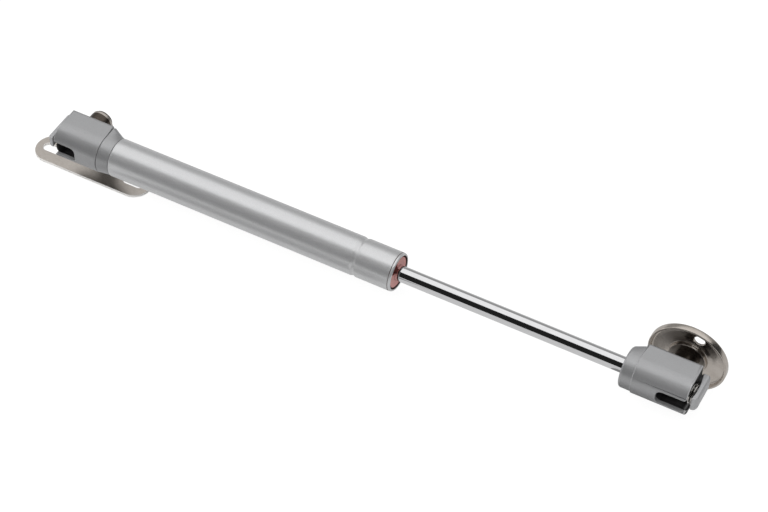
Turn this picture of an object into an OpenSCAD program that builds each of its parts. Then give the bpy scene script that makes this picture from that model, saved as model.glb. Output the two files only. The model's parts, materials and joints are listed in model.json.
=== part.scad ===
// Gas strut for a furniture lid or cabinet flap, shown fully extended.
// X runs along the strut from the door bracket to the wall plate, Z is up, and
// the pivot axes run along Y. The origin is the middle of the two screw slots,
// on the underside of the door bracket's base plate. All sizes are in mm.

/* [Travel] */
// How far the rod slides into the tube
rod_travel = 85; // [60:1:110]
// Rod that stays outside the tube when the strut is fully closed
rod_reserve = 3.1; // [3:0.1:12]
// Free room behind the piston when the strut is fully closed
end_room = 2; // [1:0.5:6]

/* [Tube] */
// Outer diameter of the pressure tube
tube_d = 15; // [14:0.5:18]
// Wall of the pressure tube
tube_wall = 1; // [0.8:0.1:1.4]
// Outside radius of the tube's rolled-in ends
tube_roll = 1.8; // [1.5:0.1:2.2]
// Outside radius of the tube's edge at the collar
blind_roll = 0.6; // [0.4:0.1:0.9]
// Radius of the opening left by each rolled-in end
tube_opening_r = 5.6; // [5:0.1:6]
// Radius of the rolled bead that holds the seal stack
bead_r = 0.6; // [0.4:0.1:1]
// Depth of that bead
bead_depth = 0.35; // [0.2:0.05:0.5]

/* [Rod] */
// Diameter of the piston rod
rod_d = 6; // [5:0.5:7]
// Diameter of the rod's seat inside the piston
rod_seat_d = 4; // [3:0.25:4.5]
// Diameter of both screwed ends
screw_d = 4.8; // [4:0.1:5]
// Length of both screwed ends inside their sockets
screw_len = 6.6; // [5:0.1:7]

/* [Seal stack] */
// Length of the rod guide
guide_len = 9; // [6:0.1:14]
// Notches in the face of the rod guide
guide_notches = 3; // [3:1:10]
// Width of those notches
notch_w = 0.9; // [0.5:0.1:1.2]
// Depth of those notches
notch_depth = 1.4; // [0.8:0.1:2]
// Width of the recess between the rod guide's face and the rod
recess_w = 0.8; // [0.5:0.1:1]
// Depth of that recess
recess_depth = 1.5; // [0.8:0.1:2]
// Gap between the guide's nose and the tube's opening
nose_gap = 0.35; // [0.2:0.05:0.5]
// Length of the rod seal
seal_len = 4.7; // [3.5:0.1:8]
// Thickness of the washer behind the seal
backing_len = 1.6; // [1:0.1:3]

/* [Piston] */
// Length of the piston
piston_len = 6; // [5:0.25:10]
// Thickness of the stop washer in front of the piston
stop_washer_len = 1; // [0.6:0.1:2]
// Thickness of the washer behind the piston
rear_washer_len = 0.8; // [0.5:0.1:2]
// Height of the rivet head on the rod's end
rivet_len = 1.2; // [0.8:0.1:2]
// Width of the piston ring
piston_ring_len = 2; // [1.5:0.1:3]
// Depth of the piston ring's groove
ring_depth = 1.4; // [1:0.1:1.8]
// Diameter of the three ports through the piston
port_d = 1.2; // [0.8:0.1:1.4]

/* [End plug] */
// Length of the plug inside the tube
plug_len = 6.5; // [5:0.1:10]
// Thickness of the plug's sealing ring
plug_ring_d = 2; // [1.5:0.1:2.4]

/* [Sockets] */
// Radius of the half-round front of a socket
socket_r = 8; // [7.6:0.1:9]
// From the strut's axis to the flat back of a socket
socket_back = 7.3; // [6.8:0.1:8]
// Radius of the two long edges of that back
socket_edge = 1.2; // [0.6:0.1:2]
// Radius of the top and bottom edges of a socket's free end
socket_end_edge = 1; // [0.5:0.1:1.5]
// Length of the head of the tube's socket along the strut
tube_socket_len = 18.9; // [18.5:0.1:24]
// Length of the head of the rod's socket along the strut
rod_socket_len = 20.5; // [18.5:0.1:24]
// From a pivot to the free end of its socket
pivot_in = 8; // [8:0.1:10]
// Wall round the inside of a socket
socket_wall = 1.6; // [1.2:0.1:1.8]
// Diameter of the neck of the rod's socket
neck_d = 15.2; // [12:0.1:15.6]
// Length of that neck
neck_len = 4.8; // [3:0.1:5.5]
// Radius of the edge where that neck begins
neck_edge = 1; // [0.4:0.1:1.5]
// Width of the slot in a socket's front
front_slot_w = 6; // [4.4:0.1:7]
// Length of that slot in the tube's socket
tube_slot_len = 9.6; // [8:0.1:12]
// Length of that slot in the rod's socket
rod_slot_len = 11; // [8:0.1:12]
// Radius of the slot's two corners at its inner end
slot_end_r = 2; // [1:0.1:2.1]
// Radius of the slot's two corners at the free end
slot_corner = 1.2; // [0.4:0.1:1.5]
// Length of the collar between the tube and its socket
collar_len = 5.1; // [4.8:0.1:9]
// Diameter of the spigot that centres the collar on the tube's socket
spigot_d = 10; // [8:0.1:12]
// Length of that spigot
spigot_len = 3.4; // [2.5:0.1:4]

/* [Latch] */
// How far a socket's latch stands out past the shell
latch_out = 3.4; // [2.8:0.1:4.5]
// Gap between the shell and the middle of the latch, where the spring shows
latch_gap = 1.5; // [1:0.1:1.8]
// Height of the latch's bar
latch_h = 5.2; // [4.4:0.1:5.6]
// How far the bar reaches in front of the strut's axis
latch_front = 4.8; // [4:0.1:6.4]
// Radius of the outer corner at that end of the bar
latch_toe_r = 2; // [1:0.1:2.4]
// Height of the latch's stem, which closes the throat behind the stud
stem_h = 4; // [3:0.1:4.4]
// Play of that stem in the throat
latch_play = 0.3; // [0.1:0.05:0.5]
// Radius of the bar's hollow inner edge
latch_hollow = 25; // [18:1:60]
// Radius of the bar's outer edges
latch_edge = 1; // [0.4:0.1:1.5]
// Wire of the latch's spring
spring_wire = 0.6; // [0.4:0.05:0.8]
// Mean radius of that spring
spring_r = 3.7; // [3:0.1:4]
// Distance from one turn of the spring to the next
spring_pitch = 1.05; // [0.9:0.05:1.6]

/* [Studs] */
// Diameter of a stud's neck, on which a socket turns
stud_neck_d = 6; // [5:0.1:6.4]
// Diameter of a stud's head inside its socket
stud_head_d = 11; // [9:0.1:11.4]
// Thickness of the rim of that head
stud_head_len = 2.4; // [1.8:0.1:3]
// Height of the dome on that head
stud_dome = 1.6; // [0.8:0.1:2.4]
// From the strut's axis to the back of that head
stud_head_back = 1.6; // [1:0.1:2]
// Diameter of a stud's shoulder
stud_shoulder_d = 9; // [8:0.1:10]
// Diameter of a stud's riveted tail in its bracket
stud_tail_d = 5; // [4:0.1:5.6]
// Diameter of the rivet head behind the bracket
stud_rivet_d = 7.5; // [6:0.1:9]
// Height of that rivet head
stud_rivet_len = 0.8; // [0.5:0.1:1.2]
// From the strut's axis to the face that a stud's shoulder stands on
stud_seat = 12.9; // [11:0.1:16]

/* [Door bracket] */
// Thickness of the folded sheet
door_sheet = 1.2; // [1:0.1:2]
// Length of the base plate
plate_len = 51.5; // [46:0.5:70]
// Width of the base plate
plate_w = 13.8; // [12:0.1:20]
// Height of the pivot over the underside of the base plate
pivot_height = 18; // [17.5:0.25:26]
// Width of the ear at its rounded top
ear_w = 8.8; // [8.4:0.1:13]
// Inner radius of the fold
fold_r = 1; // [0.8:0.1:2]
// Width of the two screw slots
door_slot_w = 4; // [3:0.1:5]
// Length of each screw slot, end to end
door_slot_len = 9; // [6:0.5:12]
// Distance between the middles of the two screw slots
door_slot_span = 37; // [30:0.5:44]

/* [Wall plate] */
// Outer radius of the round wall plate
wall_r = 14.8; // [14:0.1:20]
// Thickness of the pressed sheet
wall_sheet = 0.9; // [0.8:0.1:1.2]
// Depth of the wall plate from its rim to its back
wall_depth = 2.9; // [2.4:0.1:4]
// Inner radius of the pressed corner of the wall plate
wall_corner = 0.9; // [0.5:0.1:1.2]
// Width and height of the step that breaks the rim's outer edge
rim_edge = 0.3; // [0.1:0.05:0.4]
// Radius of the raised middle
boss_r = 7.1; // [6.5:0.1:7.2]
// Holes for the fixing screws
wall_holes = 2; // [2:1:4]
// Diameter of those holes
wall_hole_d = 4.2; // [3:0.1:4.4]
// Distance of those holes from the middle
wall_hole_r = 9.9; // [9.6:0.1:11]
// Turn of the first hole from the strut's direction
wall_hole_angle = 73; // [0:1:119]

/* [Fits] */
// Radial running clearance of the rod, the ring and the stud necks
run_gap = 0.05; // [0.02:0.01:0.1]
// Gap between neighbouring pieces that only rest on each other
seat_gap = 0.1; // [0.05:0.01:0.2]
// Room between pieces that move past each other
move_gap = 0.4; // [0.3:0.05:0.6]

/* [Hidden] */
fine = 96;
loft = 48;
eps = 0.01;

tube_r = tube_d / 2;
bore_r = tube_r - tube_wall;
rod_r = rod_d / 2;
fit_r = bore_r - run_gap;

// Places along the strut, counted from the door pivot
socket_rear = tube_socket_len - pivot_in;
tube_x = socket_rear + collar_len;
plug_x = tube_x + tube_wall + seat_gap;
plug_end_x = plug_x + plug_len;
rivet_x = plug_end_x + end_room + rod_travel;
rear_washer_x = rivet_x + rivet_len;
piston_x = rear_washer_x + rear_washer_len;
stop_washer_x = piston_x + piston_len;
bead_x = stop_washer_x + stop_washer_len + bead_r + move_gap;
backing_x = bead_x + bead_r + seat_gap;
seal_x = backing_x + backing_len + seat_gap;
guide_x = seal_x + seal_len + seat_gap;
mouth_x = guide_x + guide_len + seat_gap + tube_wall;
tube_len = mouth_x - tube_x;
neck_x = mouth_x + rod_travel + rod_reserve;
wall_pivot_x = neck_x + neck_len + rod_socket_len - pivot_in;

// Places across the strut, counted from the strut's axis
plate_back = stud_seat - fold_r;
plate_mid = plate_back - plate_w / 2;
inner_r = socket_r - socket_wall;
cavity_back = stud_head_back + move_gap;
cavity_r = stud_head_d / 2 + move_gap;
screw_r = screw_d / 2;
spring_out = spring_r + spring_wire / 2;
stem_front = spring_out + move_gap;

// Puts its children on the strut's axis, at a distance from the door pivot
module at(x = 0) {
    translate([x, -plate_mid, pivot_height]) children();
}

// Turns an outline of radius and length about the strut's axis
module turned(x = 0) {
    at(x) rotate([0, 90, 0]) rotate_extrude($fn = fine) children();
}

// Turns an outline of radius and depth about a pivot axis
module pivoted(x = 0) {
    at(x) rotate([-90, 0, 0]) rotate_extrude($fn = fine) children();
}

// A band of an outline: from one radius to another, from one place to another
module band(r0, r1, x0, x1) {
    translate([r0, x0]) square([r1 - r0, x1 - x0]);
}

// A filled half section whose two outer corners are round
module rolled(r, len, near, far) {
    square([r - max(near, far), len]);
    band(0, r, near, len - far);
    band(0, r - near, 0, len / 2);
    band(0, r - far, len / 2, len);
    translate([r - near, near]) circle(r = near, $fn = 64);
    translate([r - far, len - far]) circle(r = far, $fn = 64);
}

// A slot of a given end-to-end length along X
module slot(len, w) {
    square([len - w, w], center = true);
    for (x = [-1, 1]) translate([x * (len - w) / 2, 0]) circle(d = w, $fn = 64);
}

module pressure_tube() {
    color("silver") turned(tube_x) difference() {
        union() {
            difference() {
                rolled(tube_r, tube_len, blind_roll, tube_roll);
                translate([0, tube_wall])
                    rolled(bore_r, tube_len - 2 * tube_wall, blind_roll / 2, tube_roll - tube_wall);
            }
            intersection() {
                translate([tube_r + bead_r - bead_depth, bead_x - tube_x]) circle(r = bead_r + tube_wall, $fn = 64);
                band(bore_r - bead_depth, tube_r - tube_wall / 2, 0, tube_len);
            }
        }
        band(-eps, tube_opening_r, -eps, tube_len + eps);
        translate([tube_r + bead_r - bead_depth, bead_x - tube_x]) circle(r = bead_r, $fn = 64);
    }
}

module end_plug() {
    groove_x = plug_x + (plug_len - plug_ring_d) / 2;
    edge = blind_roll / 2 + seat_gap;
    color("darkgray") turned() difference() {
        union() {
            band(0, fit_r - edge, plug_x, plug_end_x);
            band(0, fit_r, plug_x + edge, plug_end_x - edge);
            band(0, tube_opening_r - seat_gap, tube_x, plug_x + eps);
            band(0, screw_r, socket_rear + spigot_len - screw_len, plug_x);
        }
        band(fit_r - plug_ring_d * 0.8, tube_r, groove_x - seat_gap, groove_x + plug_ring_d + seat_gap);
    }
}

module plug_ring() {
    mid_r = bore_r - plug_ring_d / 2;
    color("black") turned(plug_x + plug_len / 2) intersection() {
        translate([mid_r + run_gap, 0]) circle(d = plug_ring_d, $fn = 48);
        band(fit_r - plug_ring_d * 0.8 + run_gap, bore_r - run_gap, -plug_ring_d, plug_ring_d);
    }
}

module rod_guide() {
    nose_r = tube_opening_r - nose_gap;
    guide_end = guide_x + guide_len;
    face_x = guide_end + tube_wall * 0.6;
    color("indianred") difference() {
        turned() difference() {
            union() {
                band(rod_r + run_gap, fit_r, guide_x, guide_end - tube_roll / 2);
                band(rod_r + run_gap, fit_r - tube_roll / 2, guide_x, guide_end);
                band(rod_r + run_gap, nose_r, guide_x, face_x);
            }
            band(0, rod_r + run_gap + recess_w, face_x - recess_depth, face_x + 1);
        }
        // Notches that open into the recess and stop short of the nose's edge
        for (i = [0 : guide_notches - 1]) {
            at(face_x - notch_depth) rotate([i * 360 / guide_notches, 0, 0])
                translate([0, -notch_w / 2, rod_r]) cube([notch_depth + 1, notch_w, nose_r - rod_r - notch_w / 2]);
        }
    }
}

module rod_seal() {
    lip = 1;
    color("black") turned() difference() {
        band(rod_r + run_gap, fit_r, seal_x, seal_x + seal_len);
        band(rod_r + run_gap + lip, fit_r - lip, seal_x - eps, seal_x + seal_len * 0.55);
        translate([(rod_r + fit_r) / 2 + run_gap / 2, seal_x + seal_len * 0.55])
            circle(r = (fit_r - rod_r - run_gap) / 2 - lip, $fn = 48);
    }
}

module seal_backing() {
    color("silver") turned()
        band(rod_r + seat_gap, fit_r - bead_depth / 2, backing_x, backing_x + backing_len);
}

module piston_rod() {
    seat_r = rod_seat_d / 2;
    edge = 0.4;
    color("gainsboro") turned() {
        band(0, rod_r, stop_washer_x + stop_washer_len, neck_x - edge);
        band(0, rod_r - edge, stop_washer_x + stop_washer_len, neck_x);
        band(0, seat_r, rear_washer_x - eps, stop_washer_x + stop_washer_len + eps);
        intersection() {
            translate([0, rivet_x + rivet_len * 1.6]) circle(r = seat_r * 1.45, $fn = 64);
            band(0, seat_r * 1.4, rivet_x, rear_washer_x);
        }
        band(0, screw_r, neck_x - eps, neck_x + screw_len);
    }
}

module piston() {
    groove_x = piston_x + (piston_len - piston_ring_len) / 2;
    relief = 3 * run_gap;
    edge = 0.5;
    color("dimgray") difference() {
        turned() difference() {
            union() {
                band(rod_seat_d / 2, fit_r - relief - edge / 2, piston_x, stop_washer_x);
                band(rod_seat_d / 2, fit_r - relief, piston_x + edge, stop_washer_x - edge);
            }
            band(fit_r - ring_depth, tube_r, groove_x - run_gap, groove_x + piston_ring_len + run_gap);
        }
        at(piston_x) for (i = [0 : 2]) rotate([i * 120, 0, 0])
            translate([-1, 0, (rod_seat_d / 2 + fit_r - ring_depth) / 2]) rotate([0, 90, 0])
                cylinder(d = port_d, h = piston_len + 2, $fn = 32);
    }
}

module piston_ring() {
    ring_x = piston_x + (piston_len - piston_ring_len) / 2;
    color("black") turned()
        band(fit_r - ring_depth + run_gap, fit_r, ring_x, ring_x + piston_ring_len);
}

module stop_washer() {
    color("silver") turned()
        band(rod_seat_d / 2, fit_r - 6 * run_gap, stop_washer_x, stop_washer_x + stop_washer_len);
}

module rear_washer() {
    color("silver") turned()
        band(rod_seat_d / 2, fit_r - ring_depth, rear_washer_x, rear_washer_x + rear_washer_len);
}

// The D of a socket seen along the strut: a round front and a square back
module socket_outline(r, back, steps = fine) {
    intersection() {
        circle(r = r, $fn = steps);
        translate([-r, -r]) square([r + back, 2 * r]);
    }
    translate([0, -r]) square([back - socket_edge, 2 * r]);
    translate([0, -r + socket_edge]) square([back, 2 * (r - socket_edge)]);
    for (z = [-1, 1]) translate([back - socket_edge, z * (r - socket_edge)]) circle(r = socket_edge, $fn = 32);
}

// Stands an outline of Y and Z up along the strut, from one place to another
module along(x0, x1) {
    translate([x0, 0, 0]) rotate([90, 0, 90]) linear_extrude(x1 - x0) children();
}

// Stands an outline of X and Z up along a pivot axis, from one depth to another
module across(y0, y1) {
    translate([0, y1, 0]) rotate([90, 0, 0]) linear_extrude(y1 - y0) children();
}

// The full form of a socket's head before it is hollowed
module socket_head(front, len) {
    corner_r = norm([socket_back, socket_r]);
    start_r = socket_r - 0.2;
    edge = socket_end_edge;
    far = 60;
    intersection() {
        along(front - len, front) socket_outline(socket_r, socket_back);
        // The neck side slopes up to the two square corners
        translate([front - len, 0, 0]) rotate([0, 90, 0]) rotate_extrude($fn = fine) {
            polygon([[0, 0], [start_r, 0], [corner_r, corner_r - start_r], [corner_r, far], [0, far]]);
        }
        // The free end is rounded at the top and the bottom
        across(-socket_r - 1, socket_back + 1) {
            translate([-far, -far]) square([far + front - edge, 2 * far]);
            translate([-far, -socket_r + edge]) square([far + front, 2 * (socket_r - edge)]);
            for (z = [-1, 1]) translate([front - edge, z * (socket_r - edge)]) circle(r = edge, $fn = 48);
        }
    }
}

// Outline of the slot in a socket's front, with round corners at its inner end and at its mouth
module front_slot(front, len) {
    half_w = front_slot_w / 2;
    inner = front - len;
    translate([inner + slot_end_r, -half_w]) square([len, front_slot_w]);
    translate([inner, -half_w + slot_end_r]) square([len, front_slot_w - 2 * slot_end_r]);
    for (z = [-1, 1]) {
        translate([inner + slot_end_r, z * (half_w - slot_end_r)]) circle(r = slot_end_r, $fn = 48);
        difference() {
            translate([front - slot_corner, z * (half_w + slot_corner / 2) - slot_corner / 2])
                square([slot_corner + 1, slot_corner]);
            translate([front - slot_corner, z * (half_w + slot_corner)]) circle(r = slot_corner, $fn = 48);
        }
    }
}

// One moulded socket with its pivot at the origin and its free end on +X.
// The stub is its neck or, on the tube's socket, the spigot.
module socket(front, head_len, slot_len, stub_r, stub_len, stub_edge) {
    stub_end = front - head_len - stub_len;
    throat = stem_h + 2 * latch_play;
    difference() {
        union() {
            socket_head(front, head_len);
            translate([stub_end, 0, 0]) rotate([0, 90, 0]) rotate_extrude($fn = fine) {
                band(0, stub_r, stub_edge, stub_len + 1);
                band(0, stub_r - stub_edge, 0, stub_len);
                translate([stub_r - stub_edge, stub_edge]) circle(r = stub_edge, $fn = 48);
            }
        }
        // Room for the stud's head, open at the free end
        intersection() {
            along(-head_len, front + 1) socket_outline(inner_r, cavity_back);
            across(-socket_r, cavity_back) {
                circle(r = cavity_r, $fn = fine);
                translate([0, -cavity_r]) square([front + 1, 2 * cavity_r]);
            }
        }
        across(-socket_r - 1, 0) front_slot(front, slot_len);
        // Pocket of the latch's spring
        translate([stud_neck_d / 2, 0, 0]) rotate([0, 90, 0]) cylinder(r = stem_front, h = front, $fn = fine);
        // Throat by which the neck of the stud goes in
        across(0, socket_back + 1) translate([0, -throat / 2]) square([front + 1, throat]);
        // Bearing of the stud's neck
        rotate([-90, 0, 0]) cylinder(r = stud_neck_d / 2 + run_gap, h = socket_back + 1, $fn = fine);
        // Screwed bore in the stub
        translate([stub_end - 1, 0, 0]) rotate([0, 90, 0])
            cylinder(r = screw_r + run_gap, h = screw_len + 1.5, $fn = fine);
    }
}

module tube_socket() {
    color("gray") at(0) mirror([1, 0, 0])
        socket(pivot_in, tube_socket_len, tube_slot_len, spigot_d / 2, spigot_len, seat_gap * 4);
}

module rod_socket() {
    color("gray") at(wall_pivot_x)
        socket(pivot_in, rod_socket_len, rod_slot_len, neck_d / 2, neck_len, neck_edge);
}

module transition_collar() {
    start = socket_rear + seat_gap;
    end = tube_x - seat_gap;
    rim = 0.6;
    inset = 0.15;
    color("gray") difference() {
        // Blends from the outline of the socket to the round tube
        hull() {
            at(start) along(0, rim) intersection() {
                socket_outline(socket_r - inset, socket_back - inset, loft);
                circle(r = norm([socket_back, socket_r]) - 1, $fn = loft);
            }
            at(end - rim) along(0, rim) circle(r = tube_r - inset, $fn = loft);
        }
        turned() {
            band(0, spigot_d / 2 + seat_gap, 0, socket_rear + spigot_len + seat_gap);
            band(0, screw_r + seat_gap, 0, tube_x + 1);
        }
    }
}

// Latch that closes a socket's open end: a stem in the throat and a bar across the end
module latch(front) {
    outer = front + latch_out;
    stem_x = stud_neck_d / 2 + 3 * run_gap + 1;
    difference() {
        intersection() {
            translate([0, 0, -latch_h / 2]) linear_extrude(latch_h) {
                translate([front, latch_toe_r - latch_front])
                    square([latch_out, socket_back + latch_front - latch_edge - latch_toe_r]);
                translate([front, -latch_front]) square([latch_out - latch_toe_r, socket_back + latch_front]);
                translate([front, 0]) square([latch_out - latch_edge, socket_back]);
                translate([outer - latch_toe_r, latch_toe_r - latch_front]) circle(r = latch_toe_r, $fn = 48);
                translate([outer - latch_edge, socket_back - latch_edge]) circle(r = latch_edge, $fn = 48);
            }
            across(-latch_front - 1, socket_back + 1) {
                translate([0, -latch_h / 2 + latch_edge]) square([outer, latch_h - 2 * latch_edge]);
                translate([0, -latch_h / 2]) square([outer - latch_edge, latch_h]);
                for (z = [-1, 1])
                    translate([outer - latch_edge, z * (latch_h / 2 - latch_edge)]) circle(r = latch_edge, $fn = 48);
            }
        }
        translate([front + latch_gap - latch_hollow, 0, -latch_h]) cylinder(r = latch_hollow, h = 2 * latch_h, $fn = 180);
    }
    across(stem_front, socket_back) translate([stem_x, -stem_h / 2])
        square([front + latch_gap + eps - stem_x, stem_h]);
}

module tube_latch() {
    color("darkgray") at(0) mirror([1, 0, 0]) latch(pivot_in);
}

module rod_latch() {
    color("darkgray") at(wall_pivot_x) latch(pivot_in);
}

// Coil spring between the stud's head and the latch, with ground ends.
// Its cut across the strut is a crescent, which a turn per pitch winds into round wire.
module latch_spring(front) {
    start = stud_head_d / 2 + move_gap;
    len = front + latch_gap - latch_play - start;
    wire_r = spring_wire / 2;
    reach = 180 * spring_wire / spring_pitch;
    steps = 6;
    half = [for (i = [-steps : steps]) let (a = i / steps)
        [a * reach, wire_r * sqrt(max(1 - a * a, 0.02))]];
    translate([start, 0, 0]) rotate([90, 0, 90])
        linear_extrude(len, twist = -360 * len / spring_pitch, slices = ceil(20 * len / spring_pitch))
            polygon(concat(
                [for (p = half) (spring_r + p[1]) * [cos(p[0]), sin(p[0])]],
                [for (i = [2 * steps : -1 : 0]) (spring_r - half[i][1]) * [cos(half[i][0]), sin(half[i][0])]]));
}

module tube_spring() {
    color("lightgray") at(0) mirror([1, 0, 0]) latch_spring(pivot_in);
}

module rod_spring() {
    color("lightgray") at(wall_pivot_x) latch_spring(pivot_in);
}

// Outline of a stud, radius against depth from the strut's axis
module stud_outline(sheet) {
    head_r = stud_head_d / 2;
    dome_r = (head_r * head_r + stud_dome * stud_dome) / (2 * stud_dome);
    head_front = stud_head_back - stud_head_len;
    shoulder = socket_back + 3 * seat_gap;
    rivet = stud_seat + sheet;
    band(0, head_r, head_front, stud_head_back);
    intersection() {
        translate([0, head_front - stud_dome + dome_r]) circle(r = dome_r, $fn = 180);
        band(0, head_r, head_front - stud_dome, head_front + eps);
    }
    band(0, stud_neck_d / 2, stud_head_back - eps, shoulder);
    band(0, stud_shoulder_d / 2, shoulder, stud_seat);
    band(0, stud_tail_d / 2, stud_seat - eps, rivet);
    band(0, stud_rivet_d / 2, rivet, rivet + stud_rivet_len);
}

module door_stud() {
    color("gainsboro") pivoted(0) stud_outline(door_sheet);
}

module wall_stud() {
    color("gainsboro") pivoted(wall_pivot_x) stud_outline(wall_sheet);
}

module door_bracket() {
    fold_out = fold_r + door_sheet;
    root_w = plate_w;
    color("tan") difference() {
        union() {
            linear_extrude(door_sheet) slot(plate_len, plate_w);
            // Quarter turn of the sheet between the plate and the ear
            translate([-root_w / 2, plate_w / 2, fold_out]) rotate([0, 90, 0]) linear_extrude(root_w)
                intersection() {
                    difference() {
                        circle(r = fold_out, $fn = fine);
                        circle(r = fold_r, $fn = fine);
                    }
                    square(fold_out * 2);
                }
            translate([-root_w / 2, plate_w / 2 - 3, 0]) cube([root_w, 3, door_sheet]);
            // Ear, tapering to a round top about the pivot
            translate([0, plate_w / 2 + fold_out, 0]) rotate([90, 0, 0]) linear_extrude(door_sheet) {
                translate([0, pivot_height]) circle(d = ear_w, $fn = fine);
                polygon([[-root_w / 2, fold_out], [root_w / 2, fold_out], [root_w / 2, fold_out + 2],
                         [ear_w / 2, pivot_height], [-ear_w / 2, pivot_height], [-root_w / 2, fold_out + 2]]);
            }
        }
        for (x = [-1, 1]) translate([x * door_slot_span / 2, 0, -1]) linear_extrude(door_sheet + 2)
            slot(door_slot_len, door_slot_w);
        at(0) rotate([-90, 0, 0]) cylinder(r = stud_tail_d / 2, h = 40, $fn = fine);
    }
}

module wall_plate() {
    back = stud_seat + wall_depth;
    outer_corner = wall_corner + wall_sheet;
    color("tan") difference() {
        pivoted(wall_pivot_x) {
            difference() {
                union() {
                    // Rim and floor, with the corner of the pressing round
                    band(0, wall_r - outer_corner, stud_seat, back);
                    band(0, wall_r, stud_seat + rim_edge, back - outer_corner);
                    band(0, wall_r - rim_edge, stud_seat, back - outer_corner);
                    translate([wall_r - outer_corner, back - outer_corner]) intersection() {
                        circle(r = outer_corner, $fn = 64);
                        square(outer_corner + 1);
                    }
                }
                difference() {
                    band(boss_r, wall_r - wall_sheet, stud_seat - 1, back - wall_sheet);
                    translate([wall_r - wall_sheet - wall_corner, back - wall_sheet - wall_corner]) difference() {
                        square(wall_corner + eps);
                        circle(r = wall_corner, $fn = 48);
                    }
                }
                band(-eps, boss_r - wall_sheet, stud_seat + wall_sheet, back + 1);
                band(-eps, stud_tail_d / 2, stud_seat - 1, back + 1);
            }
        }
        for (i = [0 : wall_holes - 1]) {
            at(wall_pivot_x) rotate([0, -wall_hole_angle - i * 360 / wall_holes, 0])
                translate([wall_hole_r, 0, 0]) rotate([-90, 0, 0]) cylinder(d = wall_hole_d, h = 40, $fn = 64);
        }
    }
}

pressure_tube();
end_plug();
plug_ring();
rod_guide();
rod_seal();
seal_backing();
piston_rod();
piston();
piston_ring();
stop_washer();
rear_washer();
transition_collar();
tube_socket();
rod_socket();
tube_latch();
rod_latch();
tube_spring();
rod_spring();
door_stud();
wall_stud();
door_bracket();
wall_plate();
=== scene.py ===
# %% [markdown]
# A gas strut for a lid or a cabinet flap: a lacquered tube, a chromed rod, two
# grey moulded sockets and two plated brackets. Its rigid solids come in as a
# fixed frame, in metres. This lesson gives them their surfaces, softens the
# edges that are soft on the real parts, and sets up a studio round them.

import json
import math

import bmesh
import bpy
from mathutils import Matrix, Vector


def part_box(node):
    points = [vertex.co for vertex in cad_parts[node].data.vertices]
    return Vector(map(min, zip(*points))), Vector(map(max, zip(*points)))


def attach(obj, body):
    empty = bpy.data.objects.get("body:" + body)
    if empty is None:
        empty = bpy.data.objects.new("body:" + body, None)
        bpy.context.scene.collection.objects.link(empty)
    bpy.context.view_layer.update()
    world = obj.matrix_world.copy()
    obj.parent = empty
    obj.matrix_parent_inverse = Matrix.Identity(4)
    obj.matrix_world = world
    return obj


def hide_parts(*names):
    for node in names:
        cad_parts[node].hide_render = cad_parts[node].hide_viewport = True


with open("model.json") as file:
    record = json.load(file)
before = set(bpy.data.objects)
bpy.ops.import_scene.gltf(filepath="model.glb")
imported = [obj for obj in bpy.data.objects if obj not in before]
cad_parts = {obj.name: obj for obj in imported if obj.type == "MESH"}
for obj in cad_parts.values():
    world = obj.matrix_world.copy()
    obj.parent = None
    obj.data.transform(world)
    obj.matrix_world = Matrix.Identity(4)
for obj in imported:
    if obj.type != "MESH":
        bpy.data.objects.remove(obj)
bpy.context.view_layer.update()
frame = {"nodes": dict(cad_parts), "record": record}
nodes = frame["nodes"]
MM = 0.001
print("frame holds", len(nodes), "pieces")

# %% [markdown]
# The camera looks at the strut from the front and from the right, well above
# it, through a long lens that keeps the tube's sides nearly parallel. Its place
# is worked out from angles, so that each one can be changed by itself.

# %% Camera
VIEW_TURN = math.radians(27.513)
VIEW_HEIGHT = math.radians(48.105)
VIEW_ROLL = math.radians(1.06)
VIEW_DISTANCE = 0.80541
LENS = 103.95
AIM = Vector((0.1209, -0.005, 0.018))
AIM_SHIFT = Vector((-0.00815, -0.000467))


def camera_axes():
    """Right, up and backward axes of the camera."""
    level_right = Vector((math.cos(VIEW_TURN), math.sin(VIEW_TURN), 0))
    back = Vector((math.sin(VIEW_TURN) * math.cos(VIEW_HEIGHT),
                   -math.cos(VIEW_TURN) * math.cos(VIEW_HEIGHT),
                   math.sin(VIEW_HEIGHT)))
    level_up = back.cross(level_right)
    right = math.cos(VIEW_ROLL) * level_right + math.sin(VIEW_ROLL) * level_up
    up = math.cos(VIEW_ROLL) * level_up - math.sin(VIEW_ROLL) * level_right
    return right, up, back


def make_camera():
    right, up, back = camera_axes()
    camera = bpy.data.objects.new("camera", bpy.data.cameras.new("camera"))
    bpy.context.collection.objects.link(camera)
    camera.data.lens = LENS
    camera.data.sensor_width = 36
    place = AIM - right * AIM_SHIFT.x - up * AIM_SHIFT.y + back * VIEW_DISTANCE
    camera.matrix_world = Matrix.Translation(place) @ Matrix((right, up, back)).transposed().to_4x4()
    bpy.context.scene.camera = camera
    return camera


camera = make_camera()
print("camera at", [round(v, 3) for v in camera.matrix_world.translation])

# %% [markdown]
# Two small helpers keep the node code short: one adds a node and fills its
# sockets, the other starts a node group with named sockets. Whatever is inside
# a shader group only makes masks, values and normals.

# %% Node helpers


def add_node(tree, kind, **inputs):
    """Adds a node and fills its inputs: Scale=2 fills the one named Scale, i0=2 the first."""
    node = tree.nodes.new(kind)
    for key, value in inputs.items():
        spot = int(key[1:]) if key[0] == "i" and key[1:].isdigit() else key.replace("_", " ")
        if isinstance(value, bpy.types.NodeSocket):
            tree.links.new(value, node.inputs[spot])
        else:
            node.inputs[spot].default_value = value
    return node


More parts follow.
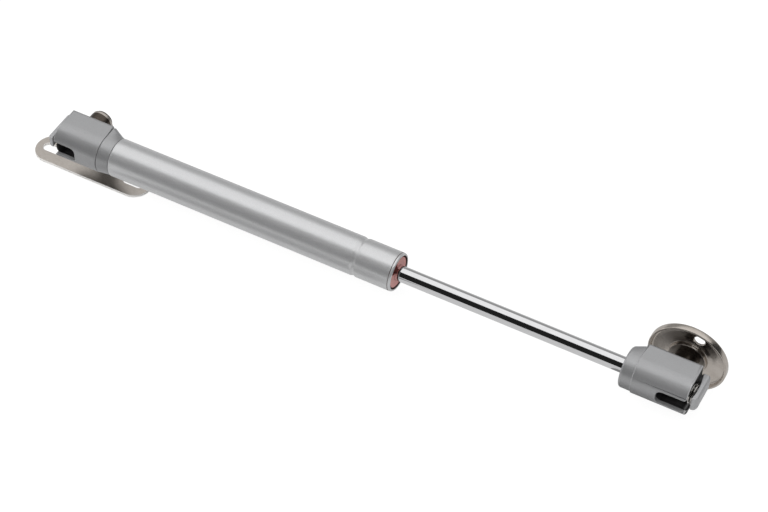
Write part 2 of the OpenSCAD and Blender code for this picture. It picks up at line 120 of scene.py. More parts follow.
def new_group(name, kind, inputs, outputs):
    """Makes a node group with named sockets and returns it with its two ends."""
    group = bpy.data.node_groups.new(name, kind)
    for label, socket_type, default in inputs:
        socket = group.interface.new_socket(label, in_out="INPUT", socket_type=socket_type)
        if default is not None:
            socket.default_value = default
    for label, socket_type in outputs:
        group.interface.new_socket(label, in_out="OUTPUT", socket_type=socket_type)
    return group, group.nodes.new("NodeGroupInput"), group.nodes.new("NodeGroupOutput")


# %% [markdown]
# Every surface here has some grain: fine sparkle in the lacquer, a matt texture
# on the moulded plastic, faint waves under the plating. One group serves all of
# them. It reads Object coordinates, so the grain has the same size in
# millimetres on each piece, and it gives a value for colour and a normal.

# %% Shared surface grain


def make_grain_group():
    group, start, end = new_group("surface_grain", "ShaderNodeTree", [
        ("Grains per metre", "NodeSocketFloat", 3000.0),
        ("Depth", "NodeSocketFloat", 0.00001),
        ("Strength", "NodeSocketFloat", 0.5),
        ("Stretch", "NodeSocketVector", (1.0, 1.0, 1.0)),
    ], [("Value", "NodeSocketFloat"), ("Normal", "NodeSocketVector")])
    place = group.nodes.new("ShaderNodeTexCoord")
    stretched = add_node(group, "ShaderNodeVectorMath", i0=place.outputs["Object"],
                         i1=start.outputs["Stretch"])
    stretched.operation = "MULTIPLY"
    noise = add_node(group, "ShaderNodeTexNoise", Vector=stretched.outputs[0],
                     Scale=start.outputs["Grains per metre"], Detail=2.0, Roughness=0.6)
    bump = add_node(group, "ShaderNodeBump", Height=noise.outputs[0], Distance=start.outputs["Depth"],
                    Strength=start.outputs["Strength"])
    group.links.new(noise.outputs[0], end.inputs["Value"])
    group.links.new(bump.outputs[0], end.inputs["Normal"])
    return group


grain_group = make_grain_group()
print("group", grain_group.name)

# %% [markdown]
# Parts that have been handled are never evenly glossy. A second group gives a
# soft, cloudy mask, which the materials use to vary their roughness a little.

# %% Shared handling marks


def make_marks_group():
    group, start, end = new_group("handling_marks", "ShaderNodeTree", [
        ("Clouds per metre", "NodeSocketFloat", 120.0),
        ("Low", "NodeSocketFloat", 0.3),
        ("High", "NodeSocketFloat", 0.4),
    ], [("Value", "NodeSocketFloat")])
    place = group.nodes.new("ShaderNodeTexCoord")
    noise = add_node(group, "ShaderNodeTexNoise", Vector=place.outputs["Object"],
                     Scale=start.outputs["Clouds per metre"], Detail=4.0, Roughness=0.55)
    spread = add_node(group, "ShaderNodeMapRange", Value=noise.outputs[0], From_Min=0.3, From_Max=0.7,
                      To_Min=start.outputs["Low"], To_Max=start.outputs["High"])
    group.links.new(spread.outputs[0], end.inputs["Value"])
    return group


marks_group = make_marks_group()
print("group", marks_group.name)

# %% [markdown]
# All finishes share one plan: two near colours mixed by the grain, a roughness
# that wanders between two values, and the grain's normal. What differs is in
# the numbers, so one function builds each finish from them. The metallic value
# is the same all over, so it is set on the shader itself.

# %% One plan for every finish


def finish_material(name, dark, light, metallic, rough, grain, depth, strength=0.35,
                    stretch=(1.0, 1.0, 1.0), clouds=120.0, contrast=(0.35, 0.65)):
    """A finish with so many grains a metre, each so deep, and a roughness between two values."""
    material = bpy.data.materials.new(name)
    material.use_nodes = True
    tree = material.node_tree
    shader = tree.nodes["Principled BSDF"]
    shader.inputs["Metallic"].default_value = metallic
    grains = add_node(tree, "ShaderNodeGroup")
    grains.node_tree = grain_group
    grains.inputs["Grains per metre"].default_value = grain
    grains.inputs["Depth"].default_value = depth
    grains.inputs["Strength"].default_value = strength
    grains.inputs["Stretch"].default_value = stretch
    marks = add_node(tree, "ShaderNodeGroup")
    marks.node_tree = marks_group
    marks.inputs["Clouds per metre"].default_value = clouds
    marks.inputs["Low"].default_value, marks.inputs["High"].default_value = rough
    ramp = tree.nodes.new("ShaderNodeValToRGB")
    ramp.color_ramp.elements[0].position, ramp.color_ramp.elements[1].position = contrast
    ramp.color_ramp.elements[0].color = (*dark, 1)
    ramp.color_ramp.elements[1].color = (*light, 1)
    tree.links.new(grains.outputs["Value"], ramp.inputs[0])
    tree.links.new(ramp.outputs[0], shader.inputs["Base Color"])
    tree.links.new(marks.outputs["Value"], shader.inputs["Roughness"])
    tree.links.new(grains.outputs["Normal"], shader.inputs["Normal"])
    return material


# %% [markdown]
# The metals differ mostly in how rough they are. The tube has a silver lacquer
# with a fine sparkle and a satin gloss. The rod is polished chrome, which
# mirrors whatever stands round it. The brackets are nickel plated, warmer than
# steel: the wall plate is smooth from the press, with faint waves, and the
# stamped door bracket is more satin. The studs and the front of the bracket's
# ear lie in shade close behind the sockets, so their nickel is darker.

# %% Metal finishes
lacquer = finish_material("silver_lacquer", dark=(0.62, 0.623, 0.63), light=(0.75, 0.753, 0.76),
                          metallic=0.72, rough=(0.32, 0.37), grain=5200, depth=0.02 * MM, clouds=150,
                          contrast=(0.3, 0.7))
chrome = finish_material("hard_chrome", dark=(0.80, 0.80, 0.81), light=(0.86, 0.86, 0.87),
                         metallic=1.0, rough=(0.05, 0.09), grain=2500, depth=0.002 * MM, strength=0.2,
                         stretch=(0.1, 1.0, 1.0), clouds=200)
pressed_nickel = finish_material("pressed_nickel", dark=(0.56, 0.51, 0.46), light=(0.63, 0.58, 0.53),
                                 metallic=1.0, rough=(0.2, 0.26), grain=220, depth=0.06 * MM, clouds=160)
satin_nickel = finish_material("satin_nickel", dark=(0.50, 0.46, 0.42), light=(0.57, 0.53, 0.49),
                               metallic=1.0, rough=(0.3, 0.38), grain=2600, depth=0.01 * MM,
                               stretch=(0.3, 1.0, 1.0), clouds=160)
shaded_nickel = finish_material("shaded_nickel", dark=(0.085, 0.072, 0.06), light=(0.12, 0.10, 0.085),
                                metallic=1.0, rough=(0.28, 0.36), grain=2600, depth=0.01 * MM)
zinc_steel = finish_material("turned_steel", dark=(0.50, 0.50, 0.51), light=(0.60, 0.60, 0.61),
                             metallic=1.0, rough=(0.25, 0.35), grain=1500, depth=0.01 * MM, strength=0.4,
                             stretch=(6.0, 1.0, 1.0))
spring_steel = finish_material("spring_wire", dark=(0.62, 0.60, 0.57), light=(0.72, 0.70, 0.67),
                               metallic=1.0, rough=(0.12, 0.2), grain=2600, depth=0.005 * MM,
                               strength=0.3)
print("lacquer, chrome, three nickels and two steels")

# %% [markdown]
# The sockets and latches are moulded in grey plastic with metal flakes in it, so
# their shader is partly metallic, and they fall off to the sides as the real
# ones do. The guide at the tube's mouth is plain red plastic. The piston and the
# seals inside the tube are black.

# %% Plastic and rubber finishes
socket_grey = finish_material("moulded_grey", dark=(0.37, 0.372, 0.378), light=(0.43, 0.432, 0.438),
                              metallic=0.66, rough=(0.36, 0.42), grain=4200, depth=0.02 * MM)
latch_grey = finish_material("latch_grey", dark=(0.40, 0.402, 0.41), light=(0.46, 0.462, 0.47),
                             metallic=0.4, rough=(0.3, 0.38), grain=4200, depth=0.02 * MM, strength=0.3)
guide_red = finish_material("guide_red", dark=(0.60, 0.24, 0.22), light=(0.70, 0.31, 0.28),
                            metallic=0.0, rough=(0.35, 0.45), grain=3500, depth=0.02 * MM, strength=0.4)
piston_black = finish_material("piston_black", dark=(0.02, 0.02, 0.022), light=(0.035, 0.035, 0.037),
                               metallic=0.0, rough=(0.4, 0.5), grain=3500, depth=0.02 * MM, strength=0.4)
rubber_black = finish_material("seal_rubber", dark=(0.012, 0.012, 0.012), light=(0.022, 0.022, 0.022),
                               metallic=0.0, rough=(0.5, 0.65), grain=2600, depth=0.03 * MM, strength=0.4)
print("two greys, red, black and rubber")

# %% [markdown]
# Each solid now gets its finish, also those inside the tube, which nobody sees
# until the strut is taken apart. The same list serves the pieces that later
# take a solid's place.

# %% Dress the solids
FINISHES = {
    "pressure_tube": lacquer, "end_plug": zinc_steel, "plug_ring": rubber_black, "rod_guide": guide_red,
    "rod_seal": rubber_black, "seal_backing": zinc_steel, "piston_rod": chrome, "piston": piston_black,
    "piston_ring": rubber_black, "stop_washer": zinc_steel, "rear_washer": zinc_steel,
    "transition_collar": socket_grey, "tube_socket": socket_grey, "rod_socket": socket_grey,
    "tube_latch": latch_grey, "rod_latch": latch_grey, "tube_spring": spring_steel,
    "rod_spring": spring_steel, "door_stud": shaded_nickel, "wall_stud": shaded_nickel,
    "door_bracket": satin_nickel, "wall_plate": pressed_nickel,
}


def dress(piece, material):
    piece.data.materials.clear()
    piece.data.materials.append(material)


for name, material in FINISHES.items():
    dress(nodes[name], material)
print("dressed", len(FINISHES), "pieces")

# %% [markdown]
# Some solids are too plain to be seen from close by, and a finer piece takes
# their place. It rides on the same body, so it moves with the same joint, it
# keeps the solid's material slot, and the solid is hidden behind it.

# %% Pieces that take a solid's place
BODY_OF = {name: body for body, names in frame["record"]["behaviour"]["bodies"].items() for name in names}


def take_place(piece, name):
    """Puts a new piece in the place of a solid: same body, same slot, same finish."""
    dress(piece, FINISHES[name])
    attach(piece, BODY_OF[name])
    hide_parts(name)
    return piece


def add_piece(name, shape):
    """Turns a bmesh into a linked object whose faces point outwards."""
    bmesh.ops.recalc_face_normals(shape, faces=shape.faces)
    for face in shape.faces:
        face.smooth = True
    mesh = bpy.data.meshes.new(name)
    shape.to_mesh(mesh)
    shape.free()
    piece = bpy.data.objects.new(name, mesh)
    bpy.context.collection.objects.link(piece)
    return piece


print("bodies:", ", ".join(sorted(set(BODY_OF.values()))))

# %% [markdown]
# A moulded socket has no knife edges, and neither has a pressed bracket. Each of
# them gets a copy whose sharp edges are rounded by a few tenths of a millimetre,
# and those thin rounds catch the light as bright lines. The copy is welded
# first, because the solid comes in as loose triangles, and flat areas are made
# into single faces, so that the rounding meets clean edges.

# %% Rounded copies
WELD = 0.002 * MM
FLAT_WITHIN = math.radians(0.5)
SHARP_ABOVE = math.radians(40)


def welded_copy(name, reshape=None):
    """A new object with the solid's shape in welded, cleaned faces."""
    shape = bmesh.new()
    shape.from_mesh(nodes[name].data)
    bmesh.ops.remove_doubles(shape, verts=shape.verts, dist=WELD)
    bmesh.ops.dissolve_limit(shape, angle_limit=FLAT_WITHIN, verts=shape.verts, edges=shape.edges)
    if reshape:
        for vert in shape.verts:
            vert.co = reshape(vert.co)
    return add_piece(name + "_rounded", shape)


def apply_modifiers(piece):
    """Bakes a piece's modifiers into its mesh."""
    view = bpy.context.evaluated_depsgraph_get()
    baked = bpy.data.meshes.new_from_object(piece.evaluated_get(view))
    piece.modifiers.clear()
    piece.data = baked


def round_edges(name, width, reshape=None):
    """Puts a copy with rounded edges, so many mm wide, in the place of a solid."""
    piece = welded_copy(name, reshape)
    rounding = piece.modifiers.new("rounding", "BEVEL")
    rounding.width = width * MM
    rounding.segments = 3
    rounding.limit_method = "ANGLE"
    rounding.angle_limit = SHARP_ABOVE
    rounding.use_clamp_overlap = False
    evening = piece.modifiers.new("evening", "WEIGHTED_NORMAL")
    evening.mode = "FACE_AREA"
    evening.weight = 100
    apply_modifiers(piece)
    return take_place(piece, name)


door_bracket = round_edges("door_bracket", 0.18)
print(door_bracket.name, len(door_bracket.data.polygons), "faces")

# %% [markdown]
# The bracket is stamped from plated sheet. The cut edges of its base are paler
# than its faces, and that pale is a painted highlight. The ear stands so close
# behind the socket that its front lies in deep shade, painted as a dark nickel.
# Each gets a finish of its own, and a face is picked by its height and by the
# way it looks.

# %% Edges and ear of the door bracket
# The near-white of the base's cut edges is a painted highlight.
cut_edge = finish_material("cut_edge", dark=(0.86, 0.84, 0.81), light=(0.94, 0.92, 0.90),
                           metallic=0.1, rough=(0.5, 0.6), grain=2600, depth=0.01 * MM, strength=0.3)
BASE_EDGE_HIGHLIGHT_SLOT, EAR_FRONT_SLOT = 1, 2
SHEET_TOP, FOLD_START, EAR_START = 1.7 * MM, 4 * MM, 6 * MM
bracket_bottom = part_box("door_bracket")[0][2]
door_bracket.data.materials.append(cut_edge)
door_bracket.data.materials.append(shaded_nickel)
for vert in door_bracket.data.vertices:
    vert.co.z = max(vert.co.z, bracket_bottom)
for face in door_bracket.data.polygons:
    upright = abs(face.normal.z) < 0.75
    if upright and face.center.y < FOLD_START and face.center.z < SHEET_TOP:
        face.material_index = BASE_EDGE_HIGHLIGHT_SLOT
    elif face.normal.y < -0.9 and face.center.z > EAR_START:
        face.material_index = EAR_FRONT_SLOT
print("picked the cut edges and the ear's front")

# %% [markdown]
# Each socket is best measured from its own pivot: how far a point lies ahead,
# towards the free end, how far behind the strut's axis, and how far above it.
# The two sockets face opposite ways, and in these measures they share all their
# rules. The pivots come from the joints, and the other sizes are in millimetres.

# %% Measures of the sockets
PIVOTS = {joint["name"]: joint.get("pos_m") for joint in frame["record"]["behaviour"]["joints"]}
AXIS = Vector((0, *PIVOTS["door_pivot"][1:]))
PIVOT_X = {"tube_socket": PIVOTS["door_pivot"][0], "rod_socket": PIVOTS["wall_pivot"][0]}
FREE_WAY = {"tube_socket": -1, "rod_socket": 1}
FREE_END = 8.0
HEAD_REAR = {"tube_socket": -10.9, "rod_socket": -12.5}
NECK = 4.8
HEAD_R, HEAD_BACK, CORNER_R = 8.0, 7.3, 1.2


def in_socket(name, point):
    """Place of a point ahead of, behind and above a socket's pivot, in mm."""
    local = (point - AXIS) / MM
    return FREE_WAY[name] * (local.x - PIVOT_X[name] / MM), local.y, local.z


def from_socket(name, ahead, behind, above):
    """Point of the frame at such a place."""
    return AXIS + Vector((PIVOT_X[name] / MM + FREE_WAY[name] * ahead, behind, above)) * MM


for name in PIVOT_X:
    ends = sorted(round(in_socket(name, Vector(corner))[0], 1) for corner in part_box(name))
    print(name, "reaches from", ends[0], "to", ends[1], "mm")

# %% [markdown]
# Seen along the strut, a socket is a D: half round in front, and square at the
# back with two rounded corners. Two functions know that outline. One gives its
# distance from the axis at any angle, which the collar needs too. The other
# gives the direction in which the skin looks. Given to the points of the skin,
# it makes the light run over a socket without a kink beside the slot.

# %% The D of the sockets
SKIN_NEAR = 0.02
FRONT_FLATNESS = math.radians(11)
CORNER_Y, CORNER_Z = HEAD_BACK - CORNER_R, HEAD_R - CORNER_R


def skin_reach(angle):
    """Distance from the axis to the D in mm, for an angle counted from the back."""
    c, s = math.cos(angle), abs(math.sin(angle))
    if c <= 0:
        return HEAD_R
    along = c * CORNER_Y + s * CORNER_Z
    inside = CORNER_R ** 2 - (CORNER_Y ** 2 + CORNER_Z ** 2 - along ** 2)
    corner = along + math.sqrt(inside) if inside > 0 else 0
    if corner * c > CORNER_Y and corner * s > CORNER_Z:
        return corner
    return min(HEAD_BACK / c, HEAD_R / s if s > 1e-6 else 99)


def skin_direction(y, z):
    """Outward direction of the D at a point that lies on it, or None."""
    if y <= 0:
        rise = math.atan2(z, -y)
        rise -= FRONT_FLATNESS * math.sin(2 * rise)
        return (-math.cos(rise), math.sin(rise)) if abs(math.hypot(y, z) - HEAD_R) < SKIN_NEAR else None
    if y <= CORNER_Y:
        return (0.0, math.copysign(1, z)) if abs(abs(z) - HEAD_R) < SKIN_NEAR else None
    if abs(z) <= CORNER_Z:
        return (1.0, 0.0) if abs(y - HEAD_BACK) < SKIN_NEAR else None
    dy, dz = y - CORNER_Y, abs(z) - CORNER_Z
    reach = math.hypot(dy, dz)
    return (dy / reach, math.copysign(dz / reach, z)) if abs(reach - CORNER_R) < SKIN_NEAR else None


print("the D reaches", [round(skin_reach(math.radians(turn)), 2) for turn in (0, 45, 90, 180)])

# %% [markdown]
# The head of a socket keeps its full section nearly to its rear, and the round
# neck of the rod's socket flares into the head's square back. In the solids the
# rear slopes and the neck is plain, so the copy's points are moved a little
# before the edges are rounded. The slope is squeezed to a quarter of its length,
# and the neck widens faster the nearer it comes to the head.

# %% Shape of the socket copies
BORE_R = 6.5
REAR_SLOPE, SLOPE_KEPT = 3.3, 0.25
NECK_SKIN, FLARE_TOP, FLARE_POWER = 7.9, 9.7, 1.3


def shape_socket(name):
    """Returns the rule that flares the neck and squares up the rear of the head."""
    rear = HEAD_REAR[name]

    def move(point):
        ahead, y, z = in_socket(name, point)
        reach = math.hypot(y, z)
        if reach > BORE_R and ahead < rear + REAR_SLOPE:
            angle = math.atan2(z, y)
            if ahead > rear + 0.01:
                ahead = rear + (ahead - rear) * SLOPE_KEPT
            if name == "rod_socket" and reach < NECK_SKIN:
                flare = max(0.0, min(1.0, (ahead - rear + NECK) / NECK))
                reach += (min(skin_reach(angle), FLARE_TOP) - HEAD_R) * flare ** FLARE_POWER
            y, z = reach * math.cos(angle), reach * math.sin(angle)
        return from_socket(name, ahead, y, z)

    return move


socket_copies = {name: round_edges(name, 0.22, shape_socket(name)) for name in PIVOT_X}
for piece in socket_copies.values():
    print(piece.name, len(piece.data.polygons), "faces")

# %% [markdown]
# Hardly any light gets into a socket, so its inside is painted near-black, as
# painted shade. The thin edges round its mouth, and the line where the neck
# meets the head, get a paler grey as a painted highlight. The points of the skin
# get the D's own direction, and all others keep the direction of their faces.

# %% Finishes of the sockets
# The near-black inside of the sockets is painted shade.
socket_inside = finish_material("socket_inside", dark=(0.035, 0.034, 0.034), light=(0.05, 0.049, 0.049),
                                metallic=0.0, rough=(0.55, 0.65), grain=4200, depth=0.02 * MM)
# The paler grey of the thin edges is a painted highlight.
edge_highlight_grey = finish_material("moulded_edge", dark=(0.50, 0.502, 0.508), light=(0.56, 0.562, 0.568),
                            metallic=0.3, rough=(0.38, 0.44), grain=4200, depth=0.02 * MM)
PAINTED_SHADE_SLOT, PAINTED_HIGHLIGHT_SLOT = 1, 2
MOUTH_EDGE, REAR_EDGE = 0.45, 0.11
SKIN_FROM, SKIN_TO = 0.8, 0.98


def pick_socket_slots(name, mesh):
    """Gives the painted shade inside a socket and the painted highlight on its thin edges their own slots."""
    for face in mesh.polygons:
        ahead, y, z = in_socket(name, face.center)
        reach = math.hypot(y, z)
        at_mouth = ahead > FREE_END - MOUTH_EDGE
        at_rear = name == "rod_socket" and reach > 7.7 and abs(ahead - HEAD_REAR[name]) < REAR_EDGE
        if reach < BORE_R + 0.05 and ahead > HEAD_REAR[name] + 2:
            face.material_index = PAINTED_SHADE_SLOT
        elif at_mouth or at_rear:
            face.material_index = PAINTED_HIGHLIGHT_SLOT


def smooth_skin(name, mesh):
    """Turns the normals of the outer skin into the D's own directions."""
    directions = []
    for vert in mesh.vertices:
        ahead, y, z = in_socket(name, vert.co)
        on_skin = HEAD_REAR[name] + SKIN_FROM < ahead < FREE_END - SKIN_TO
        found = skin_direction(y, z) if on_skin else None
        directions.append((0.0, *found) if found else tuple(vert.normal))
    mesh.normals_split_custom_set_from_vertices(directions)


for name, piece in socket_copies.items():
    piece.data.materials.append(socket_inside)
    piece.data.materials.append(edge_highlight_grey)
    pick_socket_slots(name, piece.data)
    smooth_skin(name, piece.data)
print("sockets finished")

# %% [markdown]
# A latch closes each socket's open end. Its stem lies in the throat, and its bar
# stands across the end, higher above the axis than below it, with a toe that
# reaches to the front. The copy is the solid with its points moved to that form.

# %% Shape of the latches
SOCKET_OF = {"tube_latch": "tube_socket", "rod_latch": "rod_socket"}
BAR_RAISED = 1.35
BAR_LOWERED = {"tube_latch": 0.45, "rod_latch": 1.0}
TOE_REACH = {"tube_latch": 1.6, "rod_latch": 0.3}
TOE_FROM = 2.5


def shape_latch(name):
    """Returns the rule that raises a latch's bar and sets its toe further out."""
    def move(point):
        ahead, y, z = in_socket(SOCKET_OF[name], point)
        z *= BAR_RAISED if z > 0 else BAR_LOWERED[name]
        if y < 0:
            y -= TOE_REACH[name] * min(1.0, -y / TOE_FROM)
        return from_socket(SOCKET_OF[name], ahead, y, z)

    return move


latch_copies = {name: round_edges(name, 0.25, shape_latch(name)) for name in SOCKET_OF}
for piece in latch_copies.values():
    print(piece.name, len(piece.data.polygons), "faces")

# %% [markdown]
# Behind the bar a thin dark web closes the bore: a sheet in painted shade, which
# stands for the shade deep in the socket. It is part of a disc with a straight
# top: an arc that starts and ends at the height of that top, drawn twice and
# joined by side faces. It belongs to the latch, so it is added to the latch's own
# mesh. The web and the latch behind its bar get the near-black painted shade,
# and only the front of the bar keeps the light grey.

# %% Webs behind the latches
WEB_TOP = {"tube_latch": 1.0, "rod_latch": -2.2}
WEB_R, WEB_FROM, WEB_TO = 6.45, 7.1, 7.5
WEB_STEPS = 32
BAR_FRONT = FREE_END + 0.95


def add_web(latch, name):
    """Adds the thin web that closes the bore below the latch's bar."""
    first = math.asin(WEB_TOP[name] / WEB_R)
    arc = [math.pi - first + (math.pi + 2 * first) * i / WEB_STEPS for i in range(WEB_STEPS + 1)]
    shape = bmesh.new()
    shape.from_mesh(latch.data)
    rims = []
    for ahead in (WEB_FROM, WEB_TO):
        rims.append([shape.verts.new(from_socket(SOCKET_OF[name], ahead, WEB_R * math.cos(angle),
                                                 WEB_R * math.sin(angle))) for angle in arc])
    web = [shape.faces.new(rim) for rim in rims]
    for i in range(len(arc)):
        j = (i + 1) % len(arc)
        web.append(shape.faces.new((rims[0][i], rims[0][j], rims[1][j], rims[1][i])))
    bmesh.ops.recalc_face_normals(shape, faces=web)
    shape.to_mesh(latch.data)
    shape.free()


for name, latch in latch_copies.items():
    add_web(latch, name)
    # The web and the latch behind its bar are painted near-black, as painted shade.
    latch.data.materials.append(socket_inside)
    for face in latch.data.polygons:
        ahead = in_socket(SOCKET_OF[name], face.center)[0]
        face.material_index = PAINTED_SHADE_SLOT if ahead < BAR_FRONT else 0
    print(latch.name, "with its web", len(latch.data.polygons), "faces")

# %% [markdown]
# Turned and pressed parts are lathe work. A profile is a list of corners, each
# with its place along the axis, its distance from it and its own radius. The
# lathe rounds the corners and turns the profile about an axis. A rule may move
# single points as they turn, and that cuts a notch.

# %% Lathe


def rounded_profile(corners, steps=5):
    """Points of a closed profile whose corners (along, out, radius) are arcs."""
    points = []
    count = len(corners)
    for i, (a, r, radius) in enumerate(corners):
        here = Vector((a, r))
        before = Vector(corners[i - 1][:2]) - here
        after = Vector(corners[(i + 1) % count][:2]) - here
        if radius <= 0:
            points.append(here)
            continue
        half = before.angle(after) / 2
        cut = min(radius / math.tan(half), before.length * 0.49, after.length * 0.49)
        radius = cut * math.tan(half)
        centre = here + (before.normalized() + after.normalized()).normalized() * (radius / math.sin(half))
        first = here + before.normalized() * cut - centre
        last = here + after.normalized() * cut - centre
        turn = first.angle_signed(last)
        for k in range(steps + 1):
            c, s = math.cos(-turn * k / steps), math.sin(-turn * k / steps)
            points.append(centre + Vector((first.x * c - first.y * s, first.x * s + first.y * c)))
    return points


def join_rings(shape, rings):
    """Faces between each ring of points and the next, and from the last back to the first."""
    count = len(rings[0])
    for near, far in zip(rings, rings[1:] + rings[:1]):
        for i in range(count):
            j = (i + 1) % count
            shape.faces.new((near[i], near[j], far[j], far[i]))


def lathe(name, corners, place, segments=160, cut=None):
    """Turns a closed profile; place(along, out, angle) gives the point in the frame."""
    shape = bmesh.new()
    rings = []
    for along, out in rounded_profile(corners):
        ring = []
        for i in range(segments):
            angle = 2 * math.pi * i / segments
            a, r = cut(along, out, angle) if cut else (along, out)
            ring.append(shape.verts.new(place(a * MM, r * MM, angle)))
        rings.append(ring)
    join_rings(shape, rings)
    return add_piece(name, shape)


def on_strut(along, out, angle):
    """Point at a place along the strut, a distance from its axis and an angle from the back."""
    return AXIS + Vector((along, out * math.cos(angle), out * math.sin(angle)))


def from_axis(point):
    """Distance of a point from the strut's axis in mm."""
    return math.hypot(point.y - AXIS.y, point.z - AXIS.z) / MM


one_rounded = rounded_profile([(0, 0, 0), (9, 0, 1), (9, 9, 0)])
print("three corners, one of them rounded, make", len(one_rounded), "points")

# %% [markdown]
# The tube is drawn steel. A bead is rolled in near the rod's end, where it holds
# the washer behind the seal. A fine crease runs round it close to the mouth, and
# the mouth itself is rolled inwards. The inside of the tube and the bottom of
# the crease are painted dark, as painted shade.

# %% Pressure tube
TUBE_START, BEAD, CREASE, MOUTH = 16.0, 120.6, 135.3, 136.45
TUBE_R, TUBE_BORE, START_BORE = 7.5, 6.5, 5.6
BEAD_R, CREASE_HALF = 7.15, 0.15
# The dark brown of the bore and of the crease's bottom is painted shade.
bore_and_crease_shade = finish_material("tube_bore", dark=(0.10, 0.07, 0.065), light=(0.15, 0.11, 0.10),
                              metallic=0.6, rough=(0.4, 0.5), grain=2600, depth=0.01 * MM)
tube = lathe("tube", [
    (TUBE_START, START_BORE, 0.1), (TUBE_START, TUBE_R, 0.5), (BEAD - 1.1, TUBE_R, 1.0),
    (BEAD - 0.2, BEAD_R, 0.5), (BEAD + 0.2, BEAD_R, 0.5), (BEAD + 1.1, TUBE_R, 1.0),
    (CREASE - CREASE_HALF, TUBE_R, 0.1), (CREASE, 7.28, 0.05), (CREASE + CREASE_HALF, 7.48, 0.1),
    (MOUTH - 0.4, 7.35, 0.6), (MOUTH, 6.95, 0.3), (MOUTH - 0.2, 6.6, 0.12),
    (TUBE_START + 1, TUBE_BORE, 0.1), (TUBE_START + 1, START_BORE, 0.1),
], on_strut)
take_place(tube, "pressure_tube")
tube.data.materials.append(bore_and_crease_shade)
for face in tube.data.polygons:
    reach = from_axis(face.center)
    in_crease = abs(face.center.x / MM - CREASE) < CREASE_HALF - 0.01 and reach < TUBE_R - 0.05
    if reach < TUBE_BORE + 0.12 or in_crease:
        face.material_index = PAINTED_SHADE_SLOT
print("tube", len(tube.data.polygons), "faces")

# %% [markdown]
# The red guide sits just inside the mouth and centres the rod. Its face has two
# wide notches. They are sunk as the profile turns: within a notch's angle the
# points of the face move inwards, with a short slope on either side. All that
# lies behind the face, the sunk notches with it, is painted a deep red as
# painted shade.

# %% Rod guide
FACE = MOUTH - 0.45
GUIDE_LENGTH, GUIDE_STEP = 7, 1.8
ROD_BORE, GUIDE_R, FACE_R = 3.05, 6.4, 6.0
NOTCHES, NOTCH_AT, NOTCH_HALF = 2, 122, 26
NOTCH_R, NOTCH_DEPTH, NOTCH_SLOPE = 5.6, 1.6, 3
NOTCH_SLOT = 1


def notched(along, out, angle):
    """Sinks the guide's face inside each notch."""
    off = (math.degrees(angle) - NOTCH_AT) % (360 / NOTCHES)
    off = min(off, 360 / NOTCHES - off)
    if off < NOTCH_HALF and along > FACE - 1 and out < NOTCH_R:
        return along - NOTCH_DEPTH * min(1.0, (NOTCH_HALF - off) / NOTCH_SLOPE), out
    return along, out


guide = lathe("guide", [
    (FACE - GUIDE_LENGTH, ROD_BORE, 0.1), (FACE - GUIDE_LENGTH, GUIDE_R, 0.2),
    (FACE - GUIDE_STEP, GUIDE_R, 0.2), (FACE - GUIDE_STEP, FACE_R, 0.1), (FACE, FACE_R, 0.25),
    (FACE, NOTCH_R + 0.05, 0), (FACE, NOTCH_R - 0.05, 0), (FACE, ROD_BORE, 0.1),
], on_strut, cut=notched)
take_place(guide, "rod_guide")
# The deep red behind the guide's face is painted shade.
notch_shade_red = finish_material("guide_notch", dark=(0.18, 0.02, 0.015), light=(0.24, 0.03, 0.022),
                           metallic=0.0, rough=(0.45, 0.55), grain=3500, depth=0.02 * MM, strength=0.4)
guide.data.materials.append(notch_shade_red)
for face in guide.data.polygons:
    if face.center.x / MM < FACE - 0.3 and from_axis(face.center) > ROD_BORE + 0.01:
        face.material_index = NOTCH_SLOT
print("guide", len(guide.data.polygons), "faces")

# %% [markdown]
# The wall plate is pressed from a round blank: a rim, a shallow trough and a
# raised middle that carries the stud. The trough isn't quite flat, and that is
# what bends the reflections in it. Two screw holes are cut through the trough,
# each with a small countersink, on the circle that the mount gives.

# %% Wall plate
HOLES = next(mount["dims"] for mount in frame["record"]["mounts"] if mount["name"] == "wall_plate_holes")
HOLE_CIRCLE, HOLE_R = HOLES["pcd_mm"] / 2, HOLES["hole_r_mm"]
HOLE_TURNS = (73, 253)
PLATE_X = PIVOT_X["rod_socket"]
SEAT, SEAT_BACK, BACK = 12.9, 13.8, 15.8
PLATE_R, MIDDLE_R, STUD_HOLE_R = 14.795, 7.1, 2.5


def on_plate(along, out, angle):
    """Point at a depth behind the strut's axis, a distance from the pivot and an angle round it."""
    return Vector((PLATE_X + out * math.cos(angle), AXIS.y + along, AXIS.z + out * math.sin(angle)))


def make_drill(turn):
    """The form that one screw hole takes out of the plate."""
    hole_x = PLATE_X + HOLE_CIRCLE * MM * math.cos(math.radians(turn))
    hole_z = AXIS.z + HOLE_CIRCLE * MM * math.sin(math.radians(turn))

    def in_hole(along, out, angle):
        return Vector((hole_x + out * math.cos(angle), AXIS.y + along, hole_z + out * math.sin(angle)))

    return lathe("drill", [
        (14.0, 0.02, 0), (14.0, 3.0, 0), (14.75, 2.3, 0.1), (15.0, HOLE_R, 0.1), (17.0, HOLE_R, 0),
        (17.0, 0.02, 0),
    ], in_hole, 64)


